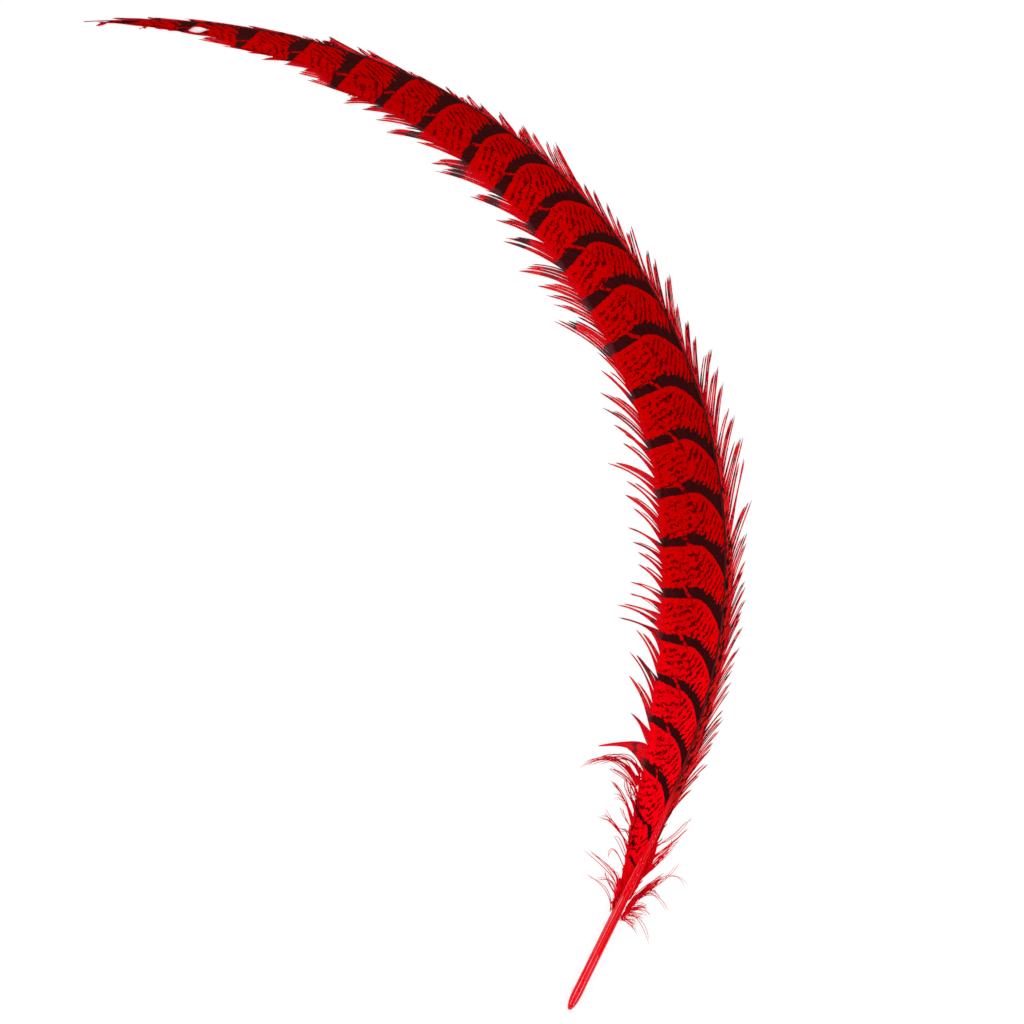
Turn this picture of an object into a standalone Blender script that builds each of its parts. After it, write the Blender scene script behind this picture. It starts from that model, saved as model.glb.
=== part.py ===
"""Tail feather of a pheasant, dyed red, lying flat with its upper side up.

Metres, +Z up. +Y runs from the quill towards the top of the bend, and +Z is the side that is looked at.
The origin is at the middle of the feather's outline, on the surface that it lies on.
Everything is laid out along the shaft: s is the distance along it from the end of the quill,
and a side distance is measured square to it, to the left (the inside of the bend) or to the right.
"""
import math

import bmesh
import bpy
import numpy as np

# ---- driving dimensions ----
LENGTH = 0.7985            # along the bend, end of the quill to tip
QUILL_END = (0.0814, -0.2785)
START_HEADING = 63.7       # degrees from +X, straight part of the quill
BEND = 195.0               # degrees per metre, middle of the feather
TIP_BEND = 115.0           # degrees per metre, at the tip
BEND_STARTS = 0.059
BEND_FULL = 0.214
BEND_EASES = 0.560

QUILL_RADIUS = 0.0030
FLAT_DEPTH = 0.0003        # cut off the quill's underside, where it rests
SHEET = 0.0006             # thickness of a vane
GAP = 0.0003               # clear space between neighbouring pieces
LIFT = 0.0001              # underside of a vane's margin above the surface

VANE_START = 0.059         # where the wide vane begins
NARROW_START = 0.086       # where the narrow vane begins
VANE_TIP = 0.796

# (distance along the shaft, value), metres
SHAFT_RADIUS = [(0.0, 0.0011), (0.002, 0.0019), (0.006, 0.0026), (0.016, QUILL_RADIUS),
                (0.056, QUILL_RADIUS), (0.090, 0.0022), (0.170, 0.00125), (0.270, 0.0010),
                (0.560, 0.0006), (LENGTH, 0.00025)]
SHAFT_HEIGHT = [(0.0, QUILL_RADIUS - FLAT_DEPTH), (0.060, QUILL_RADIUS - FLAT_DEPTH), (0.110, 0.0036),
                (0.175, 0.0050), (0.240, 0.0052), (0.320, 0.0038), (0.430, 0.0030), (0.600, 0.0024),
                (0.720, 0.0016), (LENGTH, 0.0009)]
WIDE_REACH = [(0.059, 0.0045), (0.075, 0.0250), (0.132, 0.0500), (0.196, 0.0490), (0.241, 0.0610),
              (0.340, 0.0580), (0.480, 0.0580), (0.549, 0.0460), (0.616, 0.0350), (0.672, 0.0220),
              (0.734, 0.0100), (LENGTH, 0.0014)]
WIDE_WEB = [(0.059, 0.0040), (0.106, 0.0130), (0.170, 0.0250), (0.240, 0.0340), (0.400, 0.0360),
            (0.560, 0.0310), (0.640, 0.0220), (0.734, 0.0080), (LENGTH, 0.0012)]
WIDE_BULGE = [(0.059, 0.0), (0.110, 0.0008), (0.240, 0.0025), (0.330, 0.0045), (0.430, 0.0050),
              (0.560, 0.0038), (0.672, 0.0015), (LENGTH, 0.0)]
NARROW_REACH = [(0.084, 0.0040), (0.100, 0.0170), (0.170, 0.0120), (0.280, 0.0195), (0.350, 0.0165),
                (0.430, 0.0130), (0.520, 0.0115), (0.580, 0.0060), (0.660, 0.0050), (LENGTH, 0.0022)]
NARROW_DROP = [(0.084, 0.0060), (0.200, 0.0080), (0.300, 0.0070), (0.400, 0.0050), (0.600, 0.0030),
               (LENGTH, 0.0015)]

TUFT_PLACE = (0.069, -0.0140)     # along the shaft, side
TUFT_SIZE = (0.0112, 0.0096, 0.0023)

SHAFT_POINTS = 64
ALONG_STEPS = 54
WIDE_STEPS = 5
NARROW_STEPS = 3
COLLECTION = "pheasant_tail_feather"


def clear_scene():
    for obj in list(bpy.data.objects):
        bpy.data.objects.remove(obj, do_unlink=True)


def at(stops, s):
    """Value at s, read from a list of (distance, value) stops."""
    return float(np.interp(s, [stop[0] for stop in stops], [stop[1] for stop in stops]))


def shaft_line():
    """Walk along the shaft with its heading turning as the bend says."""
    s = np.linspace(0.0, LENGTH, 1600)
    bend = np.interp(s, [BEND_STARTS, BEND_FULL, BEND_EASES, LENGTH], [0.0, BEND, BEND, TIP_BEND])
    step = s[1] - s[0]
    heading = np.radians(START_HEADING + np.concatenate(([0.0], np.cumsum(bend[:-1]) * step)))
    x = QUILL_END[0] + np.concatenate(([0.0], np.cumsum(np.cos(heading[:-1])) * step))
    y = QUILL_END[1] + np.concatenate(([0.0], np.cumsum(np.sin(heading[:-1])) * step))
    return s, x, y, heading


LINE = shaft_line()


def place(s, side):
    """World x and y of the point at s along the shaft and side to its left."""
    s_line, x_line, y_line, heading_line = LINE
    heading = np.interp(s, s_line, heading_line)
    x = np.interp(s, s_line, x_line) - math.sin(heading) * side
    y = np.interp(s, s_line, y_line) + math.cos(heading) * side
    return float(x), float(y)


def heading_at(s):
    return float(np.interp(s, LINE[0], LINE[3]))


def root_height(s):
    """Height at which the barbs leave the shaft."""
    return at(SHAFT_HEIGHT, s) + 0.35 * at(SHAFT_RADIUS, s)


def wide_height(s, side):
    """Upper face of the wide vane: it vaults up from the shaft and comes down to the surface."""
    radius = at(SHAFT_RADIUS, s)
    t = (side - radius) / (at(WIDE_WEB, s) - radius)
    t = min(max(t, 0.0), 1.0)
    vault = root_height(s) * (1.0 - t) ** 1.3 + at(WIDE_BULGE, s) * 4.0 * t * (1.0 - t)
    return max(vault, LIFT + SHEET)


def narrow_height(s, side):
    """Upper face of the narrow vane: it falls from the shaft to the surface."""
    radius = at(SHAFT_RADIUS, s)
    t = (side - radius) / at(NARROW_DROP, s)
    t = min(max(t, 0.0), 1.0)
    return max(root_height(s) * (1.0 - t) ** 1.2, LIFT + SHEET)


def feather_collection():
    collection = bpy.data.collections.new(COLLECTION)
    bpy.context.scene.collection.children.link(collection)
    return collection


def finish(name, color, roughness):
    """A plain coloured finish."""
    material = bpy.data.materials.new(name)
    material.use_nodes = True
    shader = material.node_tree.nodes["Principled BSDF"]
    shader.inputs["Base Color"].default_value = (*color, 1.0)
    shader.inputs["Roughness"].default_value = roughness
    shader.inputs["Metallic"].default_value = 0.0
    return material


def add_object(name, mesh, material, collection):
    obj = bpy.data.objects.new(name, mesh)
    obj.data.materials.append(material)
    collection.objects.link(obj)
    return obj


def shaft_stations():
    """Places along the shaft: close together at the rounded end, even elsewhere."""
    rounded = [0.0, 0.002, 0.006, 0.011]
    even = np.linspace(0.018, LENGTH, SHAFT_POINTS - len(rounded))
    return rounded + [float(s) for s in even]


def make_shaft(collection):
    """One tapering tube; the underside of the quill is cut flat where it rests."""
    curve = bpy.data.curves.new("shaft_line", "CURVE")
    curve.dimensions = "3D"
    curve.bevel_depth = 1.0
    curve.bevel_resolution = 2
    curve.use_fill_caps = True
    curve.twist_mode = "Z_UP"
    stations = shaft_stations()
    spline = curve.splines.new("POLY")
    spline.points.add(len(stations) - 1)
    for point, s in zip(spline.points, stations):
        x, y = place(s, 0.0)
        point.co = (x, y, at(SHAFT_HEIGHT, s), 1.0)
        point.radius = at(SHAFT_RADIUS, s)
    guide = bpy.data.objects.new("shaft_guide", curve)
    collection.objects.link(guide)
    depsgraph = bpy.context.evaluated_depsgraph_get()
    mesh = bpy.data.meshes.new_from_object(guide.evaluated_get(depsgraph))
    bpy.data.objects.remove(guide, do_unlink=True)
    bm = bmesh.new()
    bm.from_mesh(mesh)
    bmesh.ops.remove_doubles(bm, verts=bm.verts, dist=0.00001)
    cut = bmesh.ops.bisect_plane(
        bm, geom=bm.verts[:] + bm.edges[:] + bm.faces[:], dist=0.000001,
        plane_co=(0.0, 0.0, 0.0), plane_no=(0.0, 0.0, -1.0), clear_outer=True)
    rim = [item for item in cut["geom_cut"] if isinstance(item, bmesh.types.BMEdge)]
    bmesh.ops.holes_fill(bm, edges=rim, sides=0)
    bmesh.ops.recalc_face_normals(bm, faces=bm.faces)
    bm.to_mesh(mesh)
    bm.free()
    mesh.materials.clear()
    return add_object("shaft", mesh, finish("shaft_red", (0.70, 0.0, 0.01), 0.3), collection)


def make_vane(name, start, steps, outline, material, collection):
    """A grid laid along the shaft, then given its thickness straight down."""
    bm = bmesh.new()
    bmesh.ops.create_grid(bm, x_segments=ALONG_STEPS, y_segments=steps, size=0.5)
    for vert in bm.verts:
        s = start + (vert.co.x + 0.5) * (VANE_TIP - start)
        vert.co = outline(s, vert.co.y + 0.5)
    sheet = bmesh.ops.extrude_face_region(bm, geom=bm.faces[:], use_keep_orig=True)
    lower = [item for item in sheet["geom"] if isinstance(item, bmesh.types.BMVert)]
    bmesh.ops.translate(bm, verts=lower, vec=(0.0, 0.0, -SHEET))
    bmesh.ops.recalc_face_normals(bm, faces=bm.faces)
    mesh = bpy.data.meshes.new(name)
    bm.to_mesh(mesh)
    bm.free()
    return add_object(name, mesh, material, collection)


def wide_outline(s, across):
    """Point of the wide vane: across is 0 beside the shaft and 1 at the tips of the locks."""
    inner = at(SHAFT_RADIUS, s) + GAP
    side = inner + across * (at(WIDE_REACH, s) - inner)
    return (*place(s, side), wide_height(s, side))


def narrow_outline(s, across):
    """Point of the narrow vane, which slopes away from the shaft and so starts a little further out."""
    inner = at(SHAFT_RADIUS, s) + GAP + 0.75 * SHEET
    side = inner + across * (at(NARROW_REACH, s) - inner)
    return (*place(s, -side), narrow_height(s, side))


def make_tuft(collection):
    """The down at the right foot of the vanes: a low soft mound beside the quill."""
    bm = bmesh.new()
    bmesh.ops.create_uvsphere(bm, u_segments=16, v_segments=8, radius=1.0)
    bmesh.ops.scale(bm, verts=bm.verts, vec=TUFT_SIZE)
    turn = heading_at(TUFT_PLACE[0])
    x, y = place(*TUFT_PLACE)
    for vert in bm.verts:
        along, side, up = vert.co
        vert.co = (x + along * math.cos(turn) - side * math.sin(turn),
                   y + along * math.sin(turn) + side * math.cos(turn),
                   up + TUFT_SIZE[2] + LIFT)
    mesh = bpy.data.meshes.new("down_tuft")
    bm.to_mesh(mesh)
    bm.free()
    return add_object("down_tuft", mesh, finish("down_red", (0.60, 0.01, 0.02), 0.9), collection)


def main():
    clear_scene()
    collection = feather_collection()
    vane_red = finish("vane_red", (0.55, 0.0, 0.0), 0.7)
    make_shaft(collection)
    make_vane("wide_vane", VANE_START, WIDE_STEPS, wide_outline, vane_red, collection)
    make_vane("narrow_vane", NARROW_START, NARROW_STEPS, narrow_outline, vane_red, collection)
    make_tuft(collection)


main()
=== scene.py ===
# %% [markdown]
# # A long pheasant tail feather, dyed red
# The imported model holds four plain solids: the shaft, a sheet for each vane and a mound for the down.
# This lesson grows the real surface around them: nearly two thousand single barbs, zipped into a web
# near the shaft and parted into pointed locks at the margin, with the bars and the fine scribble of the
# plumage drawn by shader nodes. It starts by loading the solids, so everything grows at their size.

# %% Load the frame
import math

import bmesh
import bpy
import numpy as np
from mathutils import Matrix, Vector


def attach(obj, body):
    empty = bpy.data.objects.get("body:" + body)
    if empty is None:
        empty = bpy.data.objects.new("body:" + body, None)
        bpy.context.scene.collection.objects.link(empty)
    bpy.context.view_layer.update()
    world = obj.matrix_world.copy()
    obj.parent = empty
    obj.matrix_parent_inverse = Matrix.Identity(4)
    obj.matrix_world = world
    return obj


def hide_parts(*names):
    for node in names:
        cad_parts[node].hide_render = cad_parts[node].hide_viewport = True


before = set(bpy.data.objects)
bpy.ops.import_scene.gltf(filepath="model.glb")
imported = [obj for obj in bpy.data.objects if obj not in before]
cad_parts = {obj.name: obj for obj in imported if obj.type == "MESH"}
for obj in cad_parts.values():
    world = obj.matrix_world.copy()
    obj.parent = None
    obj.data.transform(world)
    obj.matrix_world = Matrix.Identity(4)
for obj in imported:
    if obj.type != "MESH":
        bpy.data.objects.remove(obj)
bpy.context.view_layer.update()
MM = 0.001
rng = np.random.default_rng(7)
print("solids:", sorted(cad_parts))

# %% [markdown]
# ## The line of the shaft
# Everything on a feather is laid out along its shaft, so places are given as a distance along the shaft
# and a side distance square to it, positive to the left, inside the bend. The bend is a rule, not a list
# of points: the quill is straight, the curvature then grows, holds, and eases off towards the tip.
# Walking along with that curvature gives the line, the same one that the solids follow.

# %% Walk the shaft
LENGTH = 0.7985
QUILL_END = (0.0814, -0.2785)
START_HEADING = 63.7
BEND_PLACES = [0.059, 0.214, 0.560, LENGTH]
BEND_VALUES = [0.0, 195.0, 195.0, 115.0]
OVERRUN = 0.03
WALK_POINTS = 1800

walk_s = np.linspace(-OVERRUN, LENGTH + OVERRUN, WALK_POINTS)
walk_step = walk_s[1] - walk_s[0]
walk_turn = np.cumsum(np.interp(walk_s, BEND_PLACES, BEND_VALUES)) * walk_step
walk_heading = np.radians(START_HEADING + walk_turn)
walk_x = np.cumsum(np.cos(walk_heading)) * walk_step
walk_y = np.cumsum(np.sin(walk_heading)) * walk_step
walk_x += QUILL_END[0] - np.interp(0.0, walk_s, walk_x)
walk_y += QUILL_END[1] - np.interp(0.0, walk_s, walk_y)


def at(stops, s):
    """Values at s, read from a list of (distance in mm, value in mm) stops, in metres."""
    places, values = np.array(stops, float).T
    return np.interp(s, places * MM, values * MM)


def heading(s):
    return np.interp(s, walk_s, walk_heading)


def place(s, side, z):
    """World points at s along the shaft, side to its left, z up."""
    x = np.interp(s, walk_s, walk_x) - np.sin(heading(s)) * side
    y = np.interp(s, walk_s, walk_y) + np.cos(heading(s)) * side
    return np.stack([x, y, np.broadcast_to(z, np.shape(x))], axis=-1)


print("tip of the shaft at", place(LENGTH, 0.0, 0.0).round(4))

# %% [markdown]
# ## Camera, floor and light
# A flat-lay is looked at from straight above, so the camera hangs over the feather and a long lens keeps
# the view almost parallel. The floor is a light table: it glows a little by itself, which makes it white
# and keeps shadows faint. Four soft lights stand around the feather. Two of them are smaller, and so
# brighter to look at: their mirror images put a low, narrow gloss on the round horn of the quill.

# %% Camera
scene = bpy.context.scene
VIEW_WIDTH = 0.5734
VIEW_CENTRE = (0.0496, 0.0)
CAMERA_HEIGHT = 2.4
SENSOR = 36.0

camera_data = bpy.data.cameras.new("camera")
camera_data.sensor_width = SENSOR
camera_data.lens = SENSOR * CAMERA_HEIGHT / VIEW_WIDTH
camera = bpy.data.objects.new("camera", camera_data)
camera.location = (*VIEW_CENTRE, CAMERA_HEIGHT)
scene.collection.objects.link(camera)
scene.camera = camera
scene.view_settings.view_transform = "Standard"
print("lens:", round(camera_data.lens), "mm")

# %% Floor and lights
FLOOR_SIZE = 8.0
KEY_POWER = 21.0
KEY_SIZES = (1.6, 0.5, 1.6, 0.5)
KEY_REACH = 1.7
KEY_HEIGHT = 1.5
FLOOR_GREY = (0.12, 0.12, 0.12, 1.0)
WHITE = (1.0, 1.0, 1.0, 1.0)
FLOOR_GLOW = 0.88
WORLD_GLOW = 0.10


def add_light(name, spot, size, power):
    """A square light that faces the middle of the feather."""
    data = bpy.data.lights.new(name, "AREA")
    data.size = size
    data.energy = power
    light = bpy.data.objects.new(name, data)
    light.location = spot
    light.rotation_euler = (-Vector(spot)).to_track_quat("-Z", "Y").to_euler()
    scene.collection.objects.link(light)
    return light


floor_bm = bmesh.new()
bmesh.ops.create_grid(floor_bm, x_segments=1, y_segments=1, size=FLOOR_SIZE / 2)
floor_mesh = bpy.data.meshes.new("floor")
floor_bm.to_mesh(floor_mesh)
floor_bm.free()
floor = bpy.data.objects.new("floor", floor_mesh)
scene.collection.objects.link(floor)
floor_material = bpy.data.materials.new("pale_floor")
floor_material.use_nodes = True
floor_shader = floor_material.node_tree.nodes["Principled BSDF"]
floor_shader.inputs["Base Color"].default_value = FLOOR_GREY
floor_shader.inputs["Emission Color"].default_value = WHITE
floor_shader.inputs["Emission Strength"].default_value = FLOOR_GLOW
floor_shader.inputs["Roughness"].default_value = 0.9
floor_shader.inputs["Specular IOR Level"].default_value = 0.0
floor_mesh.materials.append(floor_material)

for index, key_size in enumerate(KEY_SIZES):
    turn = math.radians(45 + 90 * index)
    spot = (KEY_REACH * math.cos(turn), KEY_REACH * math.sin(turn), KEY_HEIGHT)
    add_light(f"soft_{index}", spot, key_size, KEY_POWER)

world = bpy.data.worlds.new("studio")
scene.world = world
world.use_nodes = True
background = world.node_tree.nodes["Background"]
background.inputs["Color"].default_value = WHITE
background.inputs["Strength"].default_value = WORLD_GLOW

# %% [markdown]
# ## The shape of the feather along its length
# A few stops say how each measure changes from quill to tip: how thick the shaft is and how high it lies,
# and how far the zipped web of each vane reaches. Between the stops the values run straight. The lists
# are in millimetres, because that is how one measures a feather on a bench.

# %% Stops along the shaft, in millimetres
SHAFT_RADIUS = [(0, 1.1), (2, 1.9), (6, 2.6), (16, 2.9), (56, 2.9), (80, 2.4), (100, 1.75), (134, 1.15),
                (160, 0.85), (190, 0.72), (240, 0.62), (350, 0.54), (560, 0.46), (798.5, 0.25)]
SHAFT_HEIGHT = [(0, 2.7), (60, 2.7), (110, 3.6), (175, 5.0), (240, 5.2), (320, 3.8), (430, 3.0),
                (600, 2.4), (720, 1.6), (798.5, 0.9)]
SHAFT_SHIFT = [(0, 0.0), (230, 0.0), (290, 0.6), (600, 0.5), (798.5, 0.1)]
WIDE_WEB = [(59, 2.2), (67, 4.5), (78, 5.6), (90, 8.5), (101, 11.8), (112, 14.6), (134, 18.5), (157, 21.5),
            (168, 24.5), (196, 28), (224, 31.2), (246, 32.2), (280, 34.2), (314, 33.2), (355, 34),
            (392, 34.6), (426, 33.6), (459, 33), (493, 31.5), (521, 29.6), (549, 27.8), (582, 24.6),
            (610, 21.6), (638, 21.6), (650, 21.2), (661, 15.2), (672, 13), (700, 12.3), (712, 11),
            (717, 8.6), (723, 6.4), (730, 5.6), (745, 5.4), (762, 3.4), (778, 1.7), (798.5, 0.5)]
NARROW_WEB = [(66, 3.2), (84, 3.8), (92, 5.6), (98, 4.8), (103, 3.2), (112, 2.4), (123, 3.0), (134, 3.4),
              (200, 3.6), (250, 3.3), (262, 2.6), (276, 1.0), (290, 0.6), (350, 0.4), (798.5, 0.2)]
WIDE_BULGE = [(59, 0), (110, 0.8), (240, 2.5), (330, 4.5), (430, 5.0), (560, 3.8), (672, 1.5), (798.5, 0)]
NARROW_DROP = [(59, 6), (200, 8), (300, 7), (400, 5), (600, 3), (798.5, 1.5)]
TABLE_GAP = 0.25 * MM


def wide_height(s, side):
    """Height of the wide vane's web: it vaults up from the shaft and comes down at the margin."""
    root = at(SHAFT_HEIGHT, s) + 0.4 * at(SHAFT_RADIUS, s)
    t = np.clip(side / at(WIDE_WEB, s), 0.0, 1.0)
    vault = root * (1.0 - t) ** 1.3 + at(WIDE_BULGE, s) * 4.0 * t * (1.0 - t)
    return np.maximum(vault, TABLE_GAP)


def narrow_height(s, side):
    """Height of the narrow vane: it falls away from the shaft to the table."""
    root = at(SHAFT_HEIGHT, s) + 0.2 * at(SHAFT_RADIUS, s)
    t = np.clip(np.abs(side) / at(NARROW_DROP, s), 0.0, 1.0)
    return np.maximum(root * (1.0 - t) ** 1.2, TABLE_GAP)


for s_mm in (150, 350, 550):
    print(s_mm, "mm: web", round(float(at(WIDE_WEB, s_mm * MM)) / MM, 1), "mm wide")

# %% [markdown]
# ## The locks of the margin
# Barbs hold together by their hooks. Where the hooks let go, neighbouring barbs lean together into
# pointed locks with gaps between them. Their places are what makes this feather this one, so they are
# listed one by one: where a lock leaves the margin, and where its tip lies, along the shaft and to the side.
# On the lower half of the narrow vane they stand like a comb, so a loop with a little chance makes those.
# The other narrow ones are all stretched a little further out in the end.
# The wide ones of the middle leave the margin up to 9 mm earlier than their gaps suggest, by one rule.

# %% Locks: (leaves the margin at, tip along the shaft, tip to the side), millimetres
WIDE_LOCKS = [
    (59, 66, 6), (64, 72, 8), (70, 78, 8), (77, 86, 9), (84, 93, 11), (92, 100, 14), (99, 108, 16),
    (106, 116, 18), (113, 123, 20), (120, 130, 22), (127, 137, 25), (134, 142, 25), (139, 150, 40),
    (146, 140, 54), (154, 171, 43), (162, 195, 50), (176, 209, 51), (193, 224, 49), (206, 226, 42),
    (215, 228, 64), (223, 237, 63), (234, 245, 58), (240, 254, 57), (246, 267, 52), (255, 275, 52),
    (264, 282, 56), (273, 293, 60), (282, 308, 55), (291, 316, 58), (302, 326, 56), (314, 339, 64),
    (326, 352, 53), (336, 366, 55), (346, 379, 57), (355, 389, 55), (368, 403, 49), (381, 416, 46),
    (393, 447, 58), (427, 457, 54), (434, 464, 54), (442, 473, 55), (455, 489, 58), (472, 512, 52),
    (493, 524, 45), (507, 548, 44), (529, 575, 42.5), (554, 580, 41), (566, 595, 33.5), (577, 614, 36),
    (595, 623, 32), (610, 633, 29.5), (623, 644, 29.5), (638, 670, 22), (654, 675, 19.5), (662, 685, 16.5),
    (672, 698, 16.5), (688, 707, 14), (694, 722, 11.5), (706, 735, 9.3), (720, 746, 5.8), (736, 753, 5.4),
    (745, 760, 4.4), (753, 768, 3.3), (763, 780, 1.6), (770, 792, 0.6),
]
NARROW_LOCKS = [
    (265, 302, 16.5), (275, 326, 15.5), (291, 336, 17.5), (311, 348, 16), (322, 352, 14), (330, 367, 15),
    (339, 375, 15), (352, 385, 14.5), (365, 395, 10), (374, 404, 9.5), (386, 415, 8.5), (395, 431, 13),
    (412, 442, 10.5), (420, 448, 10), (430, 464, 10.5), (448, 473, 7.5), (455, 482, 8), (463, 492, 7.5),
    (474, 498, 6), (483, 502, 4.5), (487, 525, 11.5), (507, 529, 9.5), (513, 538, 8.5), (521, 544, 8),
    (542, 558, 6.5), (552, 570, 4.5), (560, 578, 5), (580, 591, 3.5), (585, 608, 1.8), (610, 640, 4.5),
    (626, 645, 4.5), (636, 661, 5), (672, 707, 1.5), (700, 742, 1.6), (735, 760, 1.4), (760, 783, 1.2),
]
EARLIER = ([264, 290, 300, 580, 620, 640], [0, 7, 9, 9, 5, 0])
LEAST_STEP = 4


def start_earlier(locks):
    """Lets locks leave the margin earlier, in whole millimetres and at least a step apart."""
    moved = []
    last = 0
    for start, along, side in locks:
        start = max(int(round(start - float(np.interp(start, *EARLIER)))), last + LEAST_STEP)
        moved.append((start, along, side))
        last = start
    return moved


WIDE_LOCKS = start_earlier(WIDE_LOCKS)
COMB_START = 122.0
COMB_END = 260.0
LONGER = 1.5
WIDER = 1.1
comb = [(66, 72, 4.2), (72, 80, 4.6), (80, 91, 6.6), (90, 99, 5.4), (97, 107, 3.6), (105, 116, 3.2),
        (114, 126, 4.2)]
comb_place = COMB_START
while comb_place < COMB_END:
    reach_in = min((comb_place - 112.0) / 18.0, 1.0)
    ahead = 9.0 + reach_in * rng.uniform(15.0, 22.0)
    out = 5.5 + reach_in * rng.uniform(6.0, 8.4)
    comb.append((comb_place, comb_place + ahead, out))
    comb_place += rng.uniform(4.2, 6.4)
NARROW_LOCKS = comb + [(start, along + LONGER, side * WIDER) for start, along, side in NARROW_LOCKS]
print(len(WIDE_LOCKS), "locks on the wide vane,", len(NARROW_LOCKS), "on the narrow one")

# %% [markdown]
# ## One barb, made once
# A barb is a thin blade with a ridge on top. One is enough as a pattern: a three-sided prism, cut across
# into stations with bisect_plane, that later gets bent along every barb's own line. A sharp end closes
# its tip, so no hole is left. Few faces matter here, because the shape is repeated many hundred times.

# %% The barb pattern
WEB_STATIONS = 9
FREE_STATIONS = 9


def barb_pattern(stations):
    """Corner positions and faces of a straight three-sided barb with a pointed tip."""
    bm = bmesh.new()
    bmesh.ops.create_cone(bm, cap_ends=True, segments=3, radius1=1.0, radius2=1.0, depth=stations)
    bmesh.ops.translate(bm, verts=bm.verts, vec=(0.0, 0.0, stations / 2))
    for station in range(1, stations):
        everything = bm.verts[:] + bm.edges[:] + bm.faces[:]
        bmesh.ops.bisect_plane(bm, geom=everything, plane_co=(0, 0, station), plane_no=(0, 0, 1))
    tip = [v for v in bm.verts if v.co.z > stations - 0.5]
    bmesh.ops.pointmerge(bm, verts=tip, merge_co=(0.0, 0.0, stations))
    bmesh.ops.recalc_face_normals(bm, faces=bm.faces)
    bm.verts.index_update()
    corners = np.array([v.co for v in bm.verts])
    faces = [[v.index for v in face.verts] for face in bm.faces]
    bm.free()
    return corners, faces


barb_corners, barb_faces = barb_pattern(WEB_STATIONS + FREE_STATIONS)
print("a barb has", len(barb_corners), "corners and", len(barb_faces), "faces")

# %% [markdown]
# ## Where the barbs run in the web
# In the web a barb leaves the shaft at a small angle and leans out more and more towards the margin.
# Each one is walked outwards in small steps until it meets the margin, and then read at even stations.

# %% Walk the barbs through the web
PITCH = 0.8 * MM
WALK_STEP = 1.0 * MM
WALK_LIMIT = 170
CLOSEST, WIDEST = 0.6 * PITCH, 4.0 * PITCH
LEAN = [(0, 1000), (500, 1000), (620, 720), (700, 450), (798.5, 300)]


def barb_angle(s, t, near_angle, far_angle):
    """Angle to the shaft; barbs lean out less and less towards the feather's tip."""
    return np.radians(at(LEAN, s) * (near_angle + (far_angle - near_angle) * t))


def walk_web(bases, web, angles, root_side):
    """Stations through the web for every barb, with the angle at each one."""
    s = bases.copy()
    side = root_side.copy()
    track_s, track_side, room = [s], [side], [np.maximum(at(web, s) - side, 1e-5)]
    for _ in range(WALK_LIMIT):
        angle = barb_angle(s, np.clip(side / at(web, s), 0.0, 1.0), *angles)
        s = s + np.cos(angle) * WALK_STEP
        side = side + np.sin(angle) * WALK_STEP
        track_s.append(s)
        track_side.append(side)
        room.append(at(web, s) - side)
    track_s, track_side, room = np.array(track_s), np.array(track_side), np.array(room)
    last = np.argmax(room <= 0.0, axis=0) - 1
    column = np.arange(len(bases))
    before, after = room[last, column], room[last + 1, column]
    reach = last + before / (before - after)
    share = np.linspace(0.0, 1.0, WEB_STATIONS + 1)[:, None] * reach[None, :]
    low = np.floor(share).astype(int)
    part = share - low
    high = np.minimum(low + 1, len(track_s) - 1)
    column = column[None, :]
    web_s = track_s[low, column] * (1 - part) + track_s[high, column] * part
    web_side = track_side[low, column] * (1 - part) + track_side[high, column] * part
    angle = barb_angle(web_s, np.clip(web_side / at(web, web_s), 0.0, 1.0), *angles)
    return web_s, web_side, angle


def barb_spacing(web_s, web_side, angle):
    """Width that each barb has to fill at each station: its distance from the next barb's line."""
    gap = np.zeros_like(web_s)
    for barb in range(web_s.shape[1] - 1):
        next_s = np.interp(web_side[:, barb], web_side[:, barb + 1], web_s[:, barb + 1])
        gap[:, barb] = next_s - web_s[:, barb]
        beyond = web_side[:, barb] > web_side[-1, barb + 1]
        inner = gap[~beyond, barb]
        gap[beyond, barb] = inner[-1] if len(inner) else PITCH
    gap[:, -1] = gap[:, -2]
    return np.clip(gap, CLOSEST, WIDEST) * np.sin(angle)


print("barbs leave the shaft every", round(PITCH / MM, 2), "mm")

# %% [markdown]
# ## Strands and locks beyond the margin
# A lock is a leaf of barbs. Its lower edge is a smooth curve from the margin to the tip: close to the
# shaft's direction at first, then bending outwards. The barbs above it lie against it and end one after
# the other, earlier and earlier. A few neighbours hold together as a strand. First come two small tools:
# one deals barbs out into strands by chance, the other bends a curve between two points.

# %% Deal out strands, bend a curve
CURVE_HANDLE = 0.36


def strand_runs(count, smallest, largest):
    """Splits a lock's barbs into runs of neighbours."""
    runs = []
    while count > 0:
        run = min(int(rng.integers(smallest, largest + 1)), count)
        runs.append(run)
        count -= run
    return runs


def bezier(start, start_angle, end, end_angle, q):
    """Points of a smooth curve in shaft coordinates, leaving and arriving at the given angles."""
    handle = CURVE_HANDLE * np.hypot(*(end - start))
    out = np.array([math.cos(start_angle), math.sin(start_angle)]) * handle
    back = np.array([math.cos(end_angle), math.sin(end_angle)]) * handle
    q = q[:, None]
    return (start * (1 - q) ** 3 + (start + out) * 3 * q * (1 - q) ** 2
            + (end - back) * 3 * q ** 2 * (1 - q) + end * q ** 3)


def unit(vectors):
    """Vectors of length one, along the last axis."""
    return vectors / np.maximum(np.linalg.norm(vectors, axis=-1, keepdims=True), 1e-9)


def directions(lines):
    """Which way each line runs at each station."""
    return unit(np.gradient(lines, axis=0))


def angle_to(start, end):
    return math.atan2(end[1] - start[1], end[0] - start[0])


print("the handles of a curve reach over", CURVE_HANDLE, "of its span")

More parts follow.
